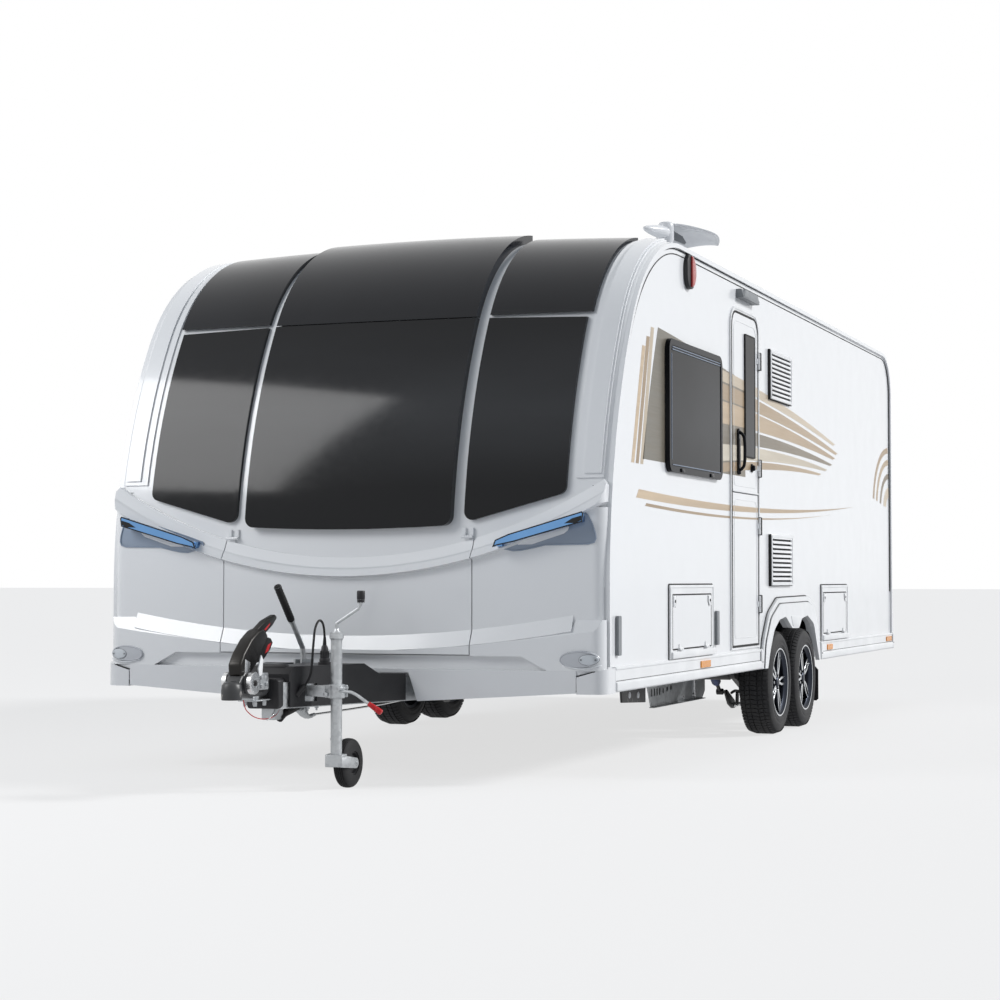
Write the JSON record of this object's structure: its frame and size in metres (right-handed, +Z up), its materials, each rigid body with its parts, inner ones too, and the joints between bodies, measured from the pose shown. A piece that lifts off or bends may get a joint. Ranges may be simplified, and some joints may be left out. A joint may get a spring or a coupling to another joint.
{
  "type": "twin-axle travel caravan",
  "caption": "Twin-axle touring trailer home: hollow white body with panoramic front windows, part-opening door, hatches, drawbar with coupling, and jockey wheel.",
  "frame": {"origin": "on the ground, at mid-length between the coupling nose and the rear lamps, in the centre plane", "axes": "+X to the nearside (door side), -Y towards the hitch, +Z up"},
  "size_m": [2.5547, 7.96, 2.7],
  "materials": {
    "body_white": "gloss white",
    "window_dark": "dark tinted acrylic",
    "gloss_black": "gloss black",
    "black_plastic": "satin black",
    "galvanised": "hot-dip galvanised",
    "tyre": "matt",
    "alloy": "machined and dark painted",
    "chrome": "polished",
    "lamp_clear": "clear lens",
    "lamp_red": "red lens",
    "lamp_amber": "amber lens",
    "vent_white": "satin white",
    "door_white": "gloss white",
    "floor_board": "sealed board",
    "front_grey": "light grey",
    "cast_steel": "painted",
    "solid_rubber": "matt",
    "cable_black": "matt",
    "cable_red": "plastic-coated"
  },
  "bodies": {
    "caravan": {"front_shell": "body_white", "front_brow": "body_white", "front_corner_columns": "body_white", "roof": "body_white", "rear_panel": "body_white", "floor": "floor_board", "nearside_wall": "body_white", "offside_wall": "body_white", "wheel_boxes": "black_plastic", "front_windows": "window_dark", "front_upper_panels": "gloss_black", "front_lower_panel": "body_white", "front_sill": "front_grey", "front_locker_box": "floor_board", "front_lamps": "lamp_clear", "front_grab_handles": "chrome", "skirts_and_arches": "vent_white", "body_windows": "window_dark", "fridge_vents": "vent_white", "side_lamps": "lamp_amber", "side_fittings": "front_grey", "door_and_hatch_frames": "vent_white", "roof_fittings": "vent_white", "rear_lamps": "lamp_red", "rear_bumper": "body_white", "chassis_rails": "galvanised", "drawbar_frame": "galvanised", "axles": "galvanised", "steady_brackets": "galvanised", "coupling_head": "cast_steel", "drawbar_cover": "black_plastic", "jockey_clamp": "galvanised", "hitch_lead": "cable_black", "hitch_plug": "black_plastic", "breakaway_cable": "cable_red"},
    "wheel_front_nearside_body": {"tyre_front_nearside": "tyre", "wheel_front_nearside": "alloy"},
    "wheel_front_offside_body": {"tyre_front_offside": "tyre", "wheel_front_offside": "alloy"},
    "wheel_rear_nearside_body": {"tyre_rear_nearside": "tyre", "wheel_rear_nearside": "alloy"},
    "wheel_rear_offside_body": {"tyre_rear_offside": "tyre", "wheel_rear_offside": "alloy"},
    "door_lower_leaf": {"door_lower": "door_white"},
    "door_upper_leaf": {"door_upper": "door_white", "door_window": "window_dark", "door_handle": "black_plastic"},
    "hatch_nearside_front": {"nearside_hatch_front": "body_white"},
    "hatch_nearside_rear": {"nearside_hatch_rear": "body_white"},
    "hatch_offside": {"offside_hatch": "body_white"},
    "locker_lid": {"front_locker_lid": "body_white"},
    "steady_nf": {"steady_nearside_front": "black_plastic"},
    "steady_of": {"steady_offside_front": "black_plastic"},
    "steady_nr": {"steady_nearside_rear": "black_plastic"},
    "steady_or": {"steady_offside_rear": "black_plastic"},
    "tow_handle": {"coupling_handle": "black_plastic"},
    "brake_lever": {"handbrake_lever": "galvanised"},
    "jockey_post": {"jockey_mast": "galvanised"},
    "jockey_caster": {"jockey_fork": "galvanised"},
    "jockey_roller": {"jockey_wheel": "solid_rubber"}
  },
  "joints": [
    {"name": "wheel_front_nearside_spin", "type": "hinge", "parent": "caravan", "child": "wheel_front_nearside_body", "pos_m": [1.155, 0.43, 0.297], "axis": [1, 0, 0], "continuous": true},
    {"name": "wheel_front_offside_spin", "type": "hinge", "parent": "caravan", "child": "wheel_front_offside_body", "pos_m": [-1.155, 0.43, 0.297], "axis": [1, 0, 0], "continuous": true},
    {"name": "wheel_rear_nearside_spin", "type": "hinge", "parent": "caravan", "child": "wheel_rear_nearside_body", "pos_m": [1.155, 1.09, 0.297], "axis": [1, 0, 0], "continuous": true},
    {"name": "wheel_rear_offside_spin", "type": "hinge", "parent": "caravan", "child": "wheel_rear_offside_body", "pos_m": [-1.155, 1.09, 0.297], "axis": [1, 0, 0], "continuous": true},
    {"name": "door_lower_hinge", "type": "hinge", "parent": "caravan", "child": "door_lower_leaf", "pos_m": [1.239, -0.067, 0.9], "axis": [0, 0, 1], "range_deg": [0, 150]},
    {"name": "door_upper_hinge", "type": "hinge", "parent": "caravan", "child": "door_upper_leaf", "pos_m": [1.239, -0.067, 1.8], "axis": [0, 0, 1], "range_deg": [0, 150]},
    {"name": "hatch_nearside_front_hinge", "type": "hinge", "parent": "caravan", "child": "hatch_nearside_front", "pos_m": [1.241, -1.4, 0.549], "axis": [0, 1, 0], "range_deg": [0, 100]},
    {"name": "hatch_nearside_rear_hinge", "type": "hinge", "parent": "caravan", "child": "hatch_nearside_rear", "pos_m": [1.241, 1.95, 0.549], "axis": [0, 1, 0], "range_deg": [0, 100]},
    {"name": "hatch_offside_hinge", "type": "hinge", "parent": "caravan", "child": "hatch_offside", "pos_m": [-1.241, 2.2, 0.549], "axis": [0, 1, 0], "range_deg": [-100, 0]},
    {"name": "locker_lid_hinge", "type": "hinge", "parent": "caravan", "child": "locker_lid", "pos_m": [0, -2.818, 1.075], "axis": [1, 0, 0], "range_deg": [-70, 0]},
    {"name": "steady_nearside_front_hinge", "type": "hinge", "parent": "caravan", "child": "steady_nf", "pos_m": [0.9, -2.56, 0.425], "axis": [1, 0, 0], "range_deg": [-65, 0]},
    {"name": "steady_offside_front_hinge", "type": "hinge", "parent": "caravan", "child": "steady_of", "pos_m": [-0.9, -2.56, 0.425], "axis": [1, 0, 0], "range_deg": [-65, 0]},
    {"name": "steady_nearside_rear_hinge", "type": "hinge", "parent": "caravan", "child": "steady_nr", "pos_m": [0.9, 3.7, 0.425], "axis": [1, 0, 0], "range_deg": [0, 65]},
    {"name": "steady_offside_rear_hinge", "type": "hinge", "parent": "caravan", "child": "steady_or", "pos_m": [-0.9, 3.7, 0.425], "axis": [1, 0, 0], "range_deg": [0, 65]},
    {"name": "coupling_handle_hinge", "type": "hinge", "parent": "caravan", "child": "tow_handle", "pos_m": [0, -3.85, 0.49], "axis": [1, 0, 0], "range_deg": [-27, 20]},
    {"name": "handbrake_lever_hinge", "type": "hinge", "parent": "caravan", "child": "brake_lever", "pos_m": [-0.06, -3.138, 0.505], "axis": [1, 0, 0], "range_deg": [-14, 40]},
    {"name": "jockey_lift", "type": "slide", "parent": "caravan", "child": "jockey_post", "axis": [0, 0, 1], "range_m": [0, 0.16]},
    {"name": "jockey_swivel", "type": "hinge", "parent": "jockey_post", "child": "jockey_caster", "pos_m": [0.252, -3.465, 0.3], "axis": [0, 0, 1], "continuous": true},
    {"name": "jockey_wheel_spin", "type": "hinge", "parent": "jockey_caster", "child": "jockey_roller", "pos_m": [0.252, -3.345, 0.105], "axis": [1, 0, 0], "continuous": true}
  ]
}
